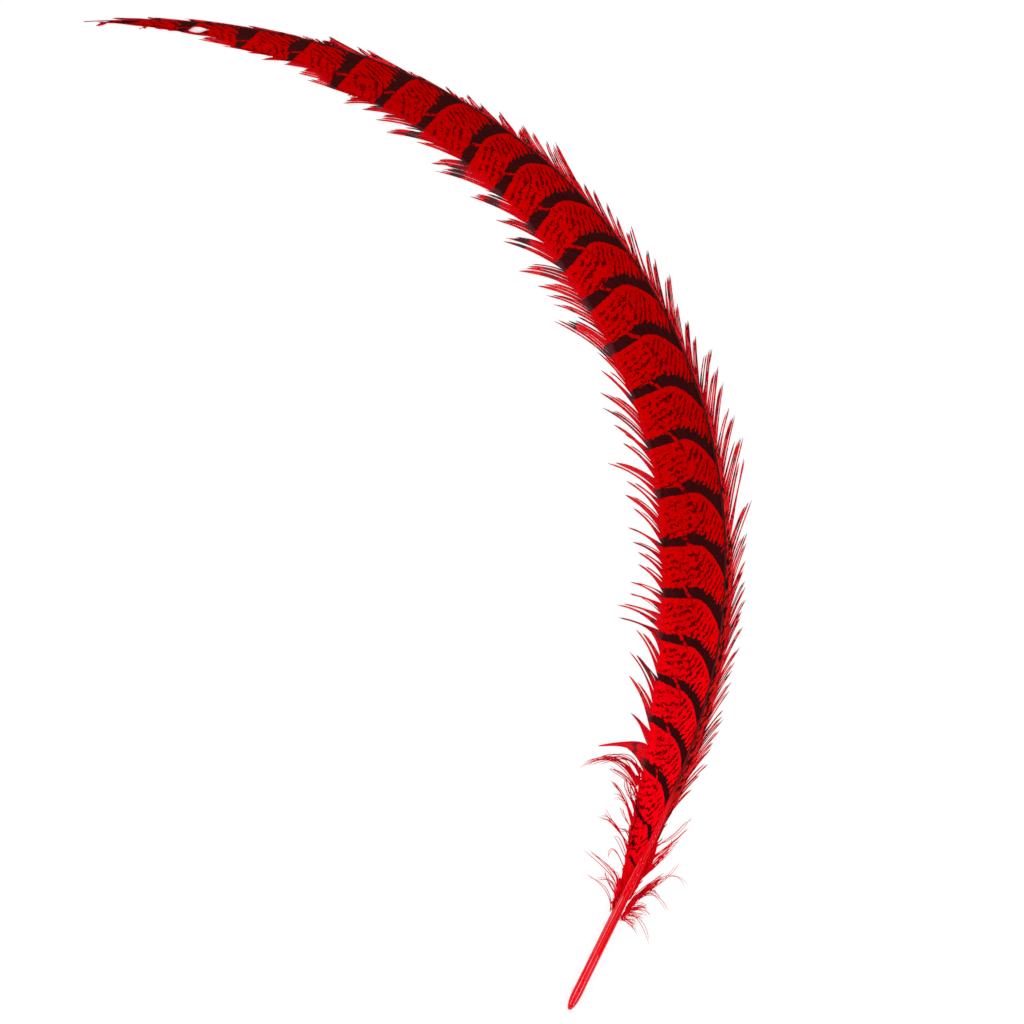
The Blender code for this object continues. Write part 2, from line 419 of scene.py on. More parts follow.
# %% [markdown]
# One lock is planned at a time. Its style says how many barbs make a strand, how far a strand closes up so
# that a slit opens beside it, at which share of the lock's own angle barbs leave the margin, how much the
# lock curls, how much earlier its last strand ends, and how wide it stays. The strands are loosest on the
# lower half of the feather, and now and then one goes astray.

# %% Plan one lock
WIDE_STYLE = {"strand": (4, 8), "slit": 0.22, "leave": (0.72, 0.86), "curl": 1.2, "shorten": 0.29,
              "spread": 0.98, "joined": 4, "webbed": 0.9 * MM, "lift": 1.0}
NARROW_STYLE = {"strand": (3, 6), "slit": 0.40, "leave": (0.70, 0.95), "curl": 0.7, "shorten": 0.14,
                "spread": 0.95, "joined": 1, "webbed": 0.4 * MM, "lift": 0.6}
LOOSE_PLACES = [140, 170, 300, 360]
LOOSE_VALUES = [1.0, 2.2, 2.2, 1.0]
EDGE_POINTS = 41
STRAY_CHANCE = 0.12
STRAY_REACH = 0.09


def plan_lock(roots, tip, style):
    """Ends of a lock's barbs, the angles they leave and arrive at, their strands and how tight these are."""
    slit = style["slit"] * np.interp(roots[0, 0] / MM, LOOSE_PLACES, LOOSE_VALUES)
    leave_low, leave_high = style["leave"]
    fine = np.linspace(0.0, 1.0, EDGE_POINTS)
    chord = angle_to(roots[0], tip)
    leave = chord * leave_low
    edge = bezier(roots[0], leave, tip, min(chord + style["curl"] * (chord - leave), 2.1), fine)
    count = len(roots)
    base = roots[-1] - roots[0]
    width = abs(base[0] * math.sin(leave) - base[1] * math.cos(leave))
    width *= np.clip(1.25 - leave, 0.25, 1.0)
    ends = np.zeros((count, 2))
    angles = np.zeros((count, 2))
    strand_of = np.zeros(count, int)
    closing = np.zeros(count)
    done = 0
    for number, run in enumerate(strand_runs(count, *style["strand"])):
        across = (done + run / 2) / count
        stop = 1.0 - style["shorten"] * across * rng.uniform(0.7, 1.15) - rng.uniform(0.0, 0.03)
        end = np.array([np.interp(stop, fine, edge[:, 0]), np.interp(stop, fine, edge[:, 1])])
        near = min(int(stop * (EDGE_POINTS - 1)), EDGE_POINTS - 2)
        arrive = angle_to(edge[near], edge[near + 1]) + 0.12 * across
        up_side = style["spread"] * width * rng.uniform(0.85, 1.1)
        up_side = up_side * np.array([math.sin(arrive), -math.cos(arrive)])
        if done > 0 and rng.uniform() < STRAY_CHANCE:
            end = end + rng.normal(0.0, STRAY_REACH, 2) * abs(tip[1] - roots[0, 1])
        for barb in range(done, min(done + run, count)):
            goal = end + up_side * (barb + 0.5) / count
            if goal[0] - roots[barb, 0] < 2.0 * MM and tip[1] < 30 * MM:
                goal = roots[barb] + rng.uniform(3.0, 6.0) * MM * np.array([0.94, 0.34])
            level = leave_low + (leave_high - leave_low) * across
            ends[barb] = goal
            angles[barb] = angle_to(roots[barb], goal) * level, arrive
        strand_of[done:done + run] = number
        closing[done:done + run] = min(slit * rng.uniform(0.2, 1.8), 0.68)
        done += run
    return ends, angles, strand_of, closing


print("locks are loosest between", LOOSE_PLACES[1], "and", LOOSE_PLACES[2], "mm")

# %% [markdown]
# Neighbours in a strand are made just wide enough to touch, so a strand reads as one ribbon. Across two
# strands they touch only where these are still close. Towards its end each strand gathers to a point.

# %% Widths of the strands
STRAND_GAP = 1.8 * MM
LONE_WIDTH = 0.3 * MM


def strand_halves(margin, free, strand_of, closing, webbed, q):
    """Half widths that let neighbouring barbs just meet, and how far each strand has closed up."""
    lines = np.concatenate([margin[None], free])
    along = directions(lines)[1:]
    step = np.diff(free, axis=1)
    gap = np.abs(step[..., 0] * along[:, :-1, 1] - step[..., 1] * along[:, :-1, 0])
    gap = np.concatenate([gap, gap[:, -1:]], axis=1)
    same = np.append(strand_of[1:] == strand_of[:-1], False)
    gap = np.where(gap < np.where(same, STRAND_GAP, webbed), gap, LONE_WIDTH)
    before = np.concatenate([gap[:, :1], gap[:, :-1]], axis=1)
    shut = closing[None, :] * np.clip((q[:, None] - 0.1) / 0.4, 0.0, 1.0)
    halves = 0.58 * np.maximum(gap, before) * (1.0 - shut)
    return halves, np.maximum(shut, 0.85 * np.clip((q[:, None] - 0.72) / 0.28, 0.0, 1.0))


# %% [markdown]
# Now all barbs of a vane get their free ends. Each belongs to the lock that starts last before it. Every
# strand is lifted a little, shaded a little, and slipped a little along the shaft, so that the bars break
# up where they run on into the locks. Only the broad locks carry the bars on.

# %% Gather the free ends
DARK_STRANDS = 0.18


def free_ends(web_s, web_side, locks, style):
    """Beyond the margin: lines and half widths of all barbs, their lift, shade, slip and bar share."""
    starts = np.array([lock[0] for lock in locks]) * MM
    q = np.linspace(0.0, 1.0, FREE_STATIONS + 1)[1:]
    margin = np.stack([web_s[-1], web_side[-1]], axis=1)
    owner = np.maximum(np.searchsorted(starts, margin[:, 0], side="right") - 1, 0)
    count = len(margin)
    ends = np.zeros((count, 2))
    angles = np.zeros((count, 2))
    strand_of = np.zeros(count, int)
    lift = np.zeros((FREE_STATIONS, count))
    tone, slip, carry, closing = np.zeros(count), np.zeros(count), np.zeros(count), np.zeros(count)
    strands = 0
    for index, lock in enumerate(locks):
        members = np.flatnonzero(owner == index)
        if len(members) == 0:
            continue
        tip = np.array(lock[1:]) * MM
        ends[members], angles[members], strand, closing[members] = plan_lock(margin[members], tip, style)
        strand_of[members] = strand + strands
        number = strand[-1] + 1
        strands += number
        is_dark = rng.uniform(size=number) < DARK_STRANDS
        strand_tone = np.where(is_dark, 0.9, rng.uniform(0.0, 0.35, number))
        tone[members] = np.clip(strand_tone[strand] + rng.uniform(-0.15, 0.15, len(members)), 0.0, 1.0)
        slip[members] = rng.normal(0.0, 1.0 * MM, number)[strand]
        carry[members] = np.clip((np.ptp(margin[members, 0]) / MM - 13.0) / 5.0, 0.0, 1.0)
        height = (rng.uniform(0.2, 1.5) + rng.uniform(0.0, 0.7, number)) * MM
        lift[:, members] = (np.sin(q * 2.2) * np.clip(q * 2.5, 0.0, 1.0))[:, None] * height[strand][None, :]
    joined = style["joined"]
    kernel = np.ones(2 * joined + 1) / (2 * joined + 1)
    leave = np.convolve(np.pad(angles[:, 0], joined, mode="edge"), kernel, mode="valid")
    free = np.zeros((FREE_STATIONS, count, 2))
    for barb in range(count):
        line = bezier(margin[barb], leave[barb], ends[barb], angles[barb, 1], q)
        free[:, barb] = margin[barb] + (line - margin[barb]) * (1.0 - rng.uniform(0.0, 0.06) * q[:, None])
    halves, shut = strand_halves(margin, free, strand_of, closing, style["webbed"], q)
    for number in range(strands):
        strand = np.flatnonzero(strand_of == number)
        middle = free[:, strand].mean(axis=1, keepdims=True)
        free[:, strand] += (middle - free[:, strand]) * shut[:, strand, None]
    free += rng.normal(0.0, 0.05 * MM, (1, count, 2)) * q[:, None, None]
    return free, halves, lift, (tone, slip, carry)


print("about one strand in", round(1 / DARK_STRANDS), "is dark")

# %% [markdown]
# ## Bending the pattern along the barbs
# All barbs of a vane are joined in one mesh: the pattern's corners are placed by arrays along every
# barb's line, and its faces are repeated. Small helpers write maps and numbers to the mesh.

# %% Place the pattern along many lines
def place_corners(corners, lines, ups, halves, heights):
    """Pattern corners bent along each line. Arrays are (station, blade), lines also hold x, y, z."""
    across = unit(np.cross(ups, directions(lines)))
    station = np.rint(corners[:, 2]).astype(int)
    is_tip = station == station.max()
    spread = np.where(is_tip, 0.0, corners[:, 0] / np.abs(corners[:, 0]).max())
    rise = np.where(is_tip, 0.0, (corners[:, 1] + 0.5) / 1.5)
    points = (lines[station] + across[station] * (halves[station] * spread[:, None])[..., None]
              + ups[station] * (heights[station] * rise[:, None])[..., None])
    return points.transpose(1, 0, 2).reshape(-1, 3), station, spread


def repeat_faces(faces, size, count):
    """Face lists of many copies of the pattern, one after the other."""
    return [[barb * size + corner for corner in face] for barb in range(count) for face in faces]


def repeat_pattern(name, corners, faces, blades):
    """One mesh with a copy of the pattern on every blade, and where each corner sits on it."""
    points, station, spread = place_corners(corners, *blades)
    mesh = bpy.data.meshes.new(name)
    mesh.from_pydata(points.tolist(), [], repeat_faces(faces, len(corners), len(points) // len(corners)))
    return mesh, station, spread


def put_map(mesh, name, u, v):
    """Writes a UV map from a value pair per vertex."""
    loops = np.zeros(len(mesh.loops), int)
    mesh.loops.foreach_get("vertex_index", loops)
    layer = mesh.uv_layers.new(name=name, do_init=False)
    pairs = np.stack([u[loops], v[loops]], axis=1).astype(np.float32)
    layer.uv.foreach_set("vector", pairs.ravel())


def put_value(mesh, name, values):
    """Writes one number per vertex."""
    attribute = mesh.attributes.new(name, "FLOAT", "POINT")
    attribute.data.foreach_set("value", np.asarray(values, np.float32))


def add_object(name, mesh):
    mesh.shade_smooth()
    obj = bpy.data.objects.new(name, mesh)
    scene.collection.objects.link(obj)
    return obj


print("two barbs joined have", len(repeat_faces(barb_faces, len(barb_corners), 2)), "faces")

# %% [markdown]
# The plumage is drawn on the place of each corner along the shaft and to the side, counted in bars too.
# Another map, OFBake, lays every barb where it would be if the vane were still fully zipped, in four
# rows, so that barbs that overlap in space never share a place when the materials are baked.

# %% Join the barbs of one vane
BAR_PLACES = [87, 112, 136, 163, 190, 217, 246, 278, 309, 341, 374, 407, 440, 470, 501, 531, 556, 586.5, 613,
              642.5, 672, 702, 736, 768, 800]
BAKE_ROWS = 4
BAKE_SIDE = 0.066
BAKE_AHEAD = 0.150
ROW_ROOM = 1.0001
BAR_JITTER = 0.15 * MM


def bar_phase(s):
    """Counts the bars: whole numbers fall on the bars' domes at mid-vane."""
    return np.interp(s, np.array(BAR_PLACES) * MM, np.arange(len(BAR_PLACES)))


def on_blades(path, half, station, spread):
    """Flat places of all corners of blades that follow a path of (along, side) pairs."""
    forward = directions(path)
    sideways = np.stack([-forward[..., 1], forward[..., 0]], axis=2)
    flat = path[station] + sideways[station] * (half[station] * spread[:, None])[..., None]
    return flat.transpose(1, 0, 2).reshape(-1, 2)


def join_barbs(name, blades, natural, natural_half, drawn, web, bases, tone, carry):
    """One mesh of all barbs of a vane, with its maps and per-barb numbers."""
    count = len(bases)
    size = len(barb_corners)
    mesh, station, spread = repeat_pattern(name, barb_corners, barb_faces, blades)
    nat = on_blades(natural, natural_half, station, spread)
    mark = on_blades(drawn, blades[2], station, spread)
    mark_s = mark[:, 0] + np.repeat(rng.normal(0.0, BAR_JITTER, count), size)
    share = np.abs(mark[:, 1]) / at(web, mark[:, 0])
    row_length = np.ptp(bases) / BAKE_ROWS * ROW_ROOM
    row = np.floor((np.repeat(bases, size) - bases.min()) / row_length)
    bake_u = (nat[:, 0] - bases.min() - row * row_length + 2 * MM) / (row_length + BAKE_AHEAD)
    bake_v = (row + 0.01 + 0.97 * np.clip(np.abs(nat[:, 1]) / BAKE_SIDE, 0.0, 1.0)) / BAKE_ROWS
    put_map(mesh, "OFBake", bake_u, bake_v)
    put_map(mesh, "bars", bar_phase(mark_s), share)
    put_map(mesh, "vane", mark_s / MM, mark[:, 1] / MM)
    put_value(mesh, "tint", np.repeat(rng.uniform(0.0, 1.0, count), size))
    put_value(mesh, "tone", np.repeat(tone, size))
    put_value(mesh, "carry", np.repeat(carry, size))
    put_value(mesh, "free", np.tile(np.clip((station - WEB_STATIONS + 1) / 2, 0.0, 1.0), count))
    obj = add_object(name, mesh)
    print(name, "has", count, "barbs and", len(mesh.polygons), "faces")
    return obj


print("bars counted:", len(BAR_PLACES))

# %% [markdown]
# ## Growing both vanes
# Near its tip the feather's web has parted, and the floor shows through a small eye. The barbs there are
# pushed aside, and those that would still cross the eye are thinned. Everything else about a vane is put
# together below: walk the barbs through the web, gather their free ends, and lay them at their height.

# %% Part the web near the tip
PARTED = (734.5, 3.9, 5.4, 1.6)
PUSH_FADE = 1.6 * MM
THINNED = 0.95


def part_web(s, side):
    """Pushes barbs aside where the web has parted near the tip, and thins those that cross the gap."""
    along, middle, half_length, half_width = np.array(PARTED) * MM
    inside = np.clip(1.0 - ((s - along) / half_length) ** 2, 0.0, 1.0)
    away = side - middle
    pushed = np.where(away > 0.0, 1.0, -1.0) * half_width * inside * np.exp(-np.abs(away) / PUSH_FADE)
    slim = 1.0 - THINNED * np.clip(inside * 2.0, 0.0, 1.0) * np.exp(-(away / (0.75 * half_width)) ** 2)
    return side + pushed, slim


print("the web is parted at", PARTED[0], "mm")

# %% [markdown]
# A barb's width follows from its neighbours: it has to meet the next one in the web, and touch its strand
# beyond. Its height is the vane's, its upper side faces square to the vane, and at the margin it comes
# down to the table. The places on which the plumage is drawn are kept beside the real ones.

# %% Widths from root to tip
FREE_THINNEST = 0.14 * MM
TIP_THICKER = 0.11 * MM
FREE_WIDEST = 0.8 * MM
WEB_THINNEST = 0.17 * MM
OVERLAP = 0.61
MARGIN_WIDER = 1.35
NEXT_WIDER = 1.2


def barb_halves(spacing, free_halves, q):
    """Half widths from root to tip; they widen at the margin, so that no light shows between barbs."""
    taper = np.clip((1.0 - q) / 0.25 + 0.6, 0.0, 1.0)
    free_halves = np.clip(free_halves, FREE_THINNEST + TIP_THICKER * q, FREE_WIDEST) * taper
    web_halves = np.maximum(OVERLAP * spacing, WEB_THINNEST)
    web_halves[-1] = MARGIN_WIDER * np.maximum(web_halves[-1], free_halves[0])
    web_halves[-2] *= NEXT_WIDER
    free_halves[0] *= NEXT_WIDER
    return np.vstack([web_halves, free_halves])


print("barbs overlap by", round(2 * OVERLAP - 1.0, 2), "of their spacing")

# %% Grow one vane
def grow_vane(name, bases, hand, web, locks, angles, root_side, height, style):
    """Barbs from their roots on the shaft to the tips of their locks, on one side of the shaft."""
    web_s, web_side, angle = walk_web(bases, web, angles, root_side)
    free, free_halves, lift, (tone, slip, carry) = free_ends(web_s, web_side, locks, style)
    q = np.linspace(0.0, 1.0, FREE_STATIONS + 1)[1:, None]
    s = np.vstack([web_s, free[..., 0]])
    side = np.vstack([web_side, free[..., 1]])
    slim = 1.0
    if hand > 0:
        side, slim = part_web(s, side)
    edge = height(web_s[-1], web_side[-1])[None, :]
    free_z = edge * (1.0 - q) ** 2 + TABLE_GAP + lift * style["lift"]
    lines = place(s, side * hand, np.vstack([height(web_s, web_side), free_z]))
    delta = 0.4 * MM
    slope = (height(s, side + delta) - height(s, side - delta)) / (2 * delta) * hand
    slope[WEB_STATIONS + 1:] = 0.0
    left = np.stack([-np.sin(heading(s)), np.cos(heading(s)), np.zeros_like(s)], axis=-1)
    ups = unit(np.array([0.0, 0.0, 1.0]) - left * slope[..., None])
    spacing = barb_spacing(web_s, web_side, angle)
    natural_half = 0.5 * np.vstack([spacing, np.repeat(spacing[-1:], FREE_STATIONS, axis=0)])
    halves = barb_halves(spacing, free_halves, q) * slim
    heights = 0.5 * halves + 0.05 * MM
    step_out = np.linalg.norm(np.diff(lines, axis=0), axis=2)
    far = np.cumsum(step_out[WEB_STATIONS:], axis=0)
    nat_s = np.vstack([web_s, web_s[-1] + np.cos(angle[-1] * 1.15) * far])
    nat_side = np.vstack([web_side, web_side[-1] + np.sin(angle[-1] * 1.15) * far])
    natural = np.stack([nat_s, nat_side * hand], axis=2)
    slipped = np.vstack([np.zeros_like(web_s), np.clip(q * 4.0, 0.0, 1.0) * slip[None, :]])
    drawn = np.stack([s + slipped, side * hand], axis=2)
    blades = (lines, ups, halves, heights)
    return join_barbs(name, blades, natural, natural_half, drawn, web, bases, tone, carry)


# %% [markdown]
# The wide vane grows on the left of the shaft, the narrow one on the right. Their barbs spring from the
# upper side of the shaft, from one end of the vane to the other, at the angles given in degrees.

# %% Both vanes
WIDE_ANGLES = (9.0, 30.0)
NARROW_ANGLES = (12.0, 27.0)

wide_bases = np.arange(0.0585, 0.7810, PITCH)
wide_roots = at(SHAFT_SHIFT, wide_bases)
wide_roots += at(SHAFT_RADIUS, wide_bases) * np.interp(wide_bases, [0.2, 0.28], [0.75, 0.5])
wide_vane = grow_vane("wide_vane_barbs", wide_bases, 1.0, WIDE_WEB, WIDE_LOCKS, WIDE_ANGLES,
                      wide_roots, wide_height, WIDE_STYLE)
narrow_bases = np.arange(0.0640, 0.7700, PITCH)
narrow_roots = at(SHAFT_RADIUS, narrow_bases) * np.interp(narrow_bases, [0.22, 0.28], [0.3, 0.8])
narrow_roots -= at(SHAFT_SHIFT, narrow_bases)
narrow_vane = grow_vane("narrow_vane_barbs", narrow_bases, -1.0, NARROW_WEB, NARROW_LOCKS, NARROW_ANGLES,
                        narrow_roots, narrow_height, NARROW_STYLE)

# %% [markdown]
# ## Loose hairs and down at the base
# Near the quill the barbs have no hooks at all: they are soft hairs that curl as they please. Each row
# places one small bunch: where it grows, a place it passes, and where it ends, as pairs along the
# shaft and to the side, then how many hairs, how thick, and how dark. Chance spreads the hairs a little.

# %% Bunches: root, via and tip (along, side), count, thickness, darkness, millimetres
BUNCHES = [
    ((60, 3.6), (69, 11), (71.7, 25), 2, 0.5, 0.0), ((66, 3.6), (75, 10.5), (72, 19), 3, 0.5, 0.0),
    ((70, 4), (79, 12), (84, 32.5), 4, 0.6, 0.0), ((68, 4), (74, 11), (78, 15), 4, 0.55, 0.0),
    ((82, 6), (92, 17), (84, 18.8), 2, 0.5, 0.0), ((72, 4), (79, 10), (81, 13), 5, 0.55, 0.0),
    ((90, 8), (97, 17), (98.6, 21.5), 2, 0.5, 0.0), ((94, 10), (104, 22), (104.5, 33.6), 4, 0.55, 0.0),
    ((97, 12), (105, 24), (110, 32), 3, 0.55, 0.0), ((100, 11.5), (104, 16), (104, 19), 3, 0.6, 0.9),
    ((106, 14), (112, 20), (116, 23), 3, 0.5, 0.0), ((109, 14), (121, 24), (126.5, 34), 7, 0.6, 0.1),
    ((113, 12.5), (122, 18), (123, 24), 4, 0.6, 0.85), ((112, 14), (119, 23), (119, 29), 4, 0.5, 0.0),
    ((118, 16), (128, 23), (134, 28), 5, 0.6, 0.1), ((126, 19), (132, 28), (134, 39.5), 6, 0.6, 0.2),
    ((130, 20), (139, 38), (128, 53), 6, 0.7, 0.1), ((131, 20), (140, 35), (131, 50), 5, 0.6, 0.45),
    ((135, 20), (142, 30), (133.5, 46), 6, 0.65, 0.5), ((137, 21), (143, 32), (136, 47), 4, 0.6, 0.1),
    ((102, -2.6), (114, -11), (126, -15.5), 3, 0.45, 0.0), ((95, -4), (110, -11), (121, -16), 4, 0.45, 0.0),
    ((90, -4.5), (103, -10), (112, -13), 6, 0.5, 0.0), ((86, -4.5), (98, -8.5), (107, -11.5), 6, 0.5, 0.0),
    ((70, -4), (86, -13), (101.5, -19), 2, 0.45, 0.0), ((68, -4), (90, -15), (90.5, -29), 2, 0.5, 0.1),
    ((66, -3.5), (78, -8), (90, -15), 12, 0.75, 0.15), ((68, -4), (77, -8), (88, -13.5), 8, 0.7, 0.85),
    ((72, -5.5), (79, -10), (79, -14), 5, 0.6, 0.8), ((70, -6), (78, -14), (73.5, -25.5), 2, 0.5, 0.3),
    ((72, -5), (79.5, -11), (77, -19), 3, 0.5, 0.2), ((62, -3.5), (68, -10), (67, -18), 4, 0.4, 0.0),
    ((59, -3), (63, -11), (50.5, -28), 2, 0.5, 0.0), ((58.5, -3), (59, -8), (56, -14.5), 4, 0.5, 0.0),
    ((61, -3), (66, -8), (72, -12), 9, 0.4, 0.0), ((60, -3), (63, -8), (65, -14), 10, 0.4, 0.0),
    ((59, -3), (60, -7), (60, -13), 8, 0.4, 0.0), ((62, -3.5), (70, -7), (77, -8.5), 8, 0.5, 0.1),
    ((64, -3.5), (69, -8), (71, -15), 6, 0.4, 0.0),
]
HAIR_STATIONS = 11
hair_corners, hair_faces = barb_pattern(HAIR_STATIONS)


def grow_hairs(bunches):
    """All loose hairs in one mesh: each runs from its root over a via point to its tip."""
    q = np.linspace(0.0, 1.0, HAIR_STATIONS + 1)[:, None]
    paths, sizes, darkness, bunch_lift = [], [], [], []
    for root, via, tip, count, thick, dark in bunches:
        lift = rng.uniform(0.3, 1.8) * MM
        for _ in range(count):
            start = (np.array(root) + rng.normal(0.0, 0.5, 2) * (2.0, 0.2)) * MM
            middle = (np.array(via) + rng.normal(0.0, 0.9, 2)) * MM
            end = (np.array(tip) + rng.normal(0.0, 1.1, 2)) * MM
            end = middle + (end - middle) * rng.uniform(0.75, 1.04)
            bend = 2.0 * middle - 0.5 * (start + end)
            line = start * (1 - q) ** 2 + bend * 2 * q * (1 - q) + end * q ** 2
            phase = rng.uniform(0.0, 6.28)
            waves = np.sin(q * rng.uniform(5.0, 11.0) + phase) - math.sin(phase)
            line = line + waves * q * rng.normal(0.0, 0.3, 2) * MM
            paths.append(line)
            sizes.append(thick * rng.uniform(0.8, 1.2) * MM)
            darkness.append(dark)
            bunch_lift.append(lift + rng.uniform(0.0, 0.8) * MM)
    paths = np.array(paths).transpose(1, 0, 2)
    sizes = np.array(sizes)[None, :]
    root_height = (at(SHAFT_HEIGHT, paths[0, :, 0]) - 0.5 * MM)[None, :]
    z = root_height * (1.0 - q) ** 2 + np.array(bunch_lift)[None, :] * np.sin(q * 2.3) + TABLE_GAP
    lines = place(paths[..., 0], paths[..., 1], z)
    halves = 0.5 * sizes * (1.0 - 0.6 * q)
    ups = np.broadcast_to(np.array([0.0, 0.0, 1.0]), lines.shape)
    blades = (lines, ups, halves, halves * 0.9)
    mesh, station, spread = repeat_pattern("loose_hairs", hair_corners, hair_faces, blades)
    count = len(bunch_lift)
    size = len(hair_corners)
    row = np.repeat(np.arange(count), size)
    put_map(mesh, "OFBake", 0.01 + 0.98 * np.tile(station / HAIR_STATIONS, count),
            (row + 0.5 + 0.35 * np.tile(spread, count)) / count)
    put_value(mesh, "tint", np.repeat(rng.uniform(0.0, 1.0, count), size))
    put_value(mesh, "dark", np.repeat(np.array(darkness), size))
    put_value(mesh, "reach", np.tile(station / HAIR_STATIONS, count))
    print("loose hairs:", count, "with", len(mesh.polygons), "faces")
    return add_object("loose_hairs", mesh)


hairs = grow_hairs(BUNCHES)

# %% [markdown]
# ## Arithmetic with nodes
# A pattern is arithmetic on coordinates, and a node tree holds that arithmetic. Built node by node it is
# hard to read, so the output of a node gets a small wrapper here: a plus, minus or times sign between two
# of them adds the Math node for it. That keeps the formulas below short enough to follow.

# %% A node's output that knows arithmetic
class Value:
    """The output of a node; each sign used on it adds one Math node to its tree."""

    def __init__(self, socket):
        self.socket = socket
        self.tree = socket.id_data

    def calc(self, operation, *others):
        node = self.tree.nodes.new("ShaderNodeMath")
        node.operation = operation
        fill(node.inputs, (self, *others))
        return Value(node.outputs[0])

    def __add__(self, other):
        return self.calc("ADD", other)

    def __sub__(self, other):
        return self.calc("SUBTRACT", other)

    def __rsub__(self, other):
        return self * -1.0 + other

    def __mul__(self, other):
        return self.calc("MULTIPLY", other)

    def __truediv__(self, other):
        return self.calc("DIVIDE", other)

    def __abs__(self):
        return self.calc("ABSOLUTE")


def fill(sockets, entries):
    """Links or sets one socket after the other; entries are Values, numbers, vectors or colours."""
    for socket, entry in zip(sockets, entries):
        if isinstance(entry, Value):
            entry.tree.links.new(entry.socket, socket)
        elif socket.type == "RGBA":
            socket.default_value = (*entry, 1.0)
        else:
            socket.default_value = entry


def larger(first, *others):
    for other in others:
        first = first.calc("MAXIMUM", other)
    return first


print("a Value turns + - * / and abs into Math nodes")

# %% [markdown]
# The other helpers also add one node each: a smooth step from one level to another, noise, mixes of two
# numbers or two colours, and an attribute or a map read from the mesh. The last one draws a short stroke:
# it measures how far a place lies from the line between two points.

# %% Node helpers
def smooth(value, low, high, start=0.0, end=1.0):
    """Runs smoothly from start to end as value goes from low to high."""
    node = value.tree.nodes.new("ShaderNodeMapRange")
    node.interpolation_type = "SMOOTHSTEP"
    names = ("Value", "From Min", "From Max", "To Min", "To Max")
    fill([node.inputs[name] for name in names], (value, low, high, start, end))
    return Value(node.outputs["Result"])


def combine(x, y):
    node = x.tree.nodes.new("ShaderNodeCombineXYZ")
    fill(node.inputs, (x, y))
    return Value(node.outputs[0])


def noise(vector, scale, detail=2.0):
    node = vector.tree.nodes.new("ShaderNodeTexNoise")
    fill([node.inputs[name] for name in ("Vector", "Scale", "Detail")], (vector, scale, detail))
    return Value(node.outputs["Fac"])


def mix(share, first, second):
    """Between two numbers."""
    node = share.tree.nodes.new("ShaderNodeMix")
    fill((node.inputs[0], node.inputs[2], node.inputs[3]), (share, first, second))
    return Value(node.outputs[0])


def blend(share, first, second):
    """Between two colours."""
    node = share.tree.nodes.new("ShaderNodeMix")
    node.data_type = "RGBA"
    fill((node.inputs[0], node.inputs[6], node.inputs[7]), (share, first, second))
    return Value(node.outputs[2])


def attribute(tree, name):
    node = tree.nodes.new("ShaderNodeAttribute")
    node.attribute_name = name
    return Value(node.outputs["Fac"])


def read_map(tree, name):
    """Both numbers of a map, and the map as a vector."""
    node = tree.nodes.new("ShaderNodeUVMap")
    node.uv_map = name
    vector = Value(node.outputs[0])
    split = tree.nodes.new("ShaderNodeSeparateXYZ")
    fill(split.inputs, [vector])
    return Value(split.outputs[0]), Value(split.outputs[1]), vector


def near_line(spot, start, end, half):
    """1 on a short stroke from start to end (along, side), 0 away from it."""
    step = Vector((*end, 0.0)) - Vector((*start, 0.0))
    offset, reach, foot, apart = (spot.tree.nodes.new("ShaderNodeVectorMath") for _ in range(4))
    offset.operation = "SUBTRACT"
    reach.operation = "DOT_PRODUCT"
    foot.operation = "SCALE"
    apart.operation = "DISTANCE"
    fill(offset.inputs, (spot, (*start, 0.0)))
    fill(reach.inputs, (Value(offset.outputs[0]), step / step.length_squared))
    held = larger(Value(reach.outputs["Value"]), 0.0).calc("MINIMUM", 1.0)
    fill((foot.inputs[0], foot.inputs["Scale"]), (step, held))
    fill(apart.inputs, (Value(offset.outputs[0]), Value(foot.outputs[0])))
    return smooth(Value(apart.outputs["Value"]), half + 0.3, half - 0.2)


# %% [markdown]
# ## The plumage: bars and scribble
# The dark marks follow the vane, not space, so their node group reads two maps. One counts bars along the
# shaft and shares across the web, the other holds millimetres. First come the strokes of the scribble:
# cosine waves that noise bends, with a second noise, drawn out along the strokes, to thin and break them.

# %% Wavy strokes
def wavy_strokes(across, down, wobble, ripple):
    """Strokes side by side, from -1 to 1, and the noise that breaks them."""
    wave = wobble * 1.4 + across + ripple
    stroke = (wave * (2 * math.pi)).calc("COSINE")
    return stroke, noise(combine(wave * 0.9, down), 1.0, 1.0)


def scribble_strokes(along, side, right, wobble, ripple):
    """Steep strokes beside the shaft, which bend over towards flat ones on the left."""
    steep_across = (along * 0.47 + side * (side * -0.024 + 1.40)) / 2.7
    steep_down = (side * -0.47 + along * 0.88) * 0.17
    steep, steep_breaks = wavy_strokes(steep_across, steep_down, wobble, ripple)
    flat_across = (side * 0.37 + along * 0.93) / 4.0
    flat_down = (side * -0.93 + along * 0.37) * 0.19
    flat, flat_breaks = wavy_strokes(flat_across, flat_down, wobble, ripple * 1.5)
    return mix(right, flat, steep), mix(right, flat_breaks, steep_breaks)


# %% [markdown]
# A bar's lower edge is a smooth dome that drops towards the shaft. Its upper edge is jagged: the red
# between the strokes reaches down into the bar like fingers. One slipped row of barbs cuts every bar with
# a red slash, and the part on its left sits a little higher. A thin crack runs on from the slash, and its
# shadow is painted into the red as a dark line.

# %% The marks group
def dome_edge(phase, share, along, near_squared, wobble):
    """Counts bars from their domed lower edges, and how much thicker they are far from the shaft."""
    drop = near_squared * smooth(along, 430.0, 690.0, 0.64, 0.10)
    outward = larger(share - 0.35, 0.0)
    tilt = smooth(along, 160.0, 250.0, -0.30, 0.06) + smooth(along, 530.0, 620.0, 0.0, -0.38)
    bulk = smooth(along, 385.0, 430.0) * smooth(along, 580.0, 510.0) * 0.14 * outward
    return drop + phase + wobble * 0.05 + outward * tilt + bulk, bulk


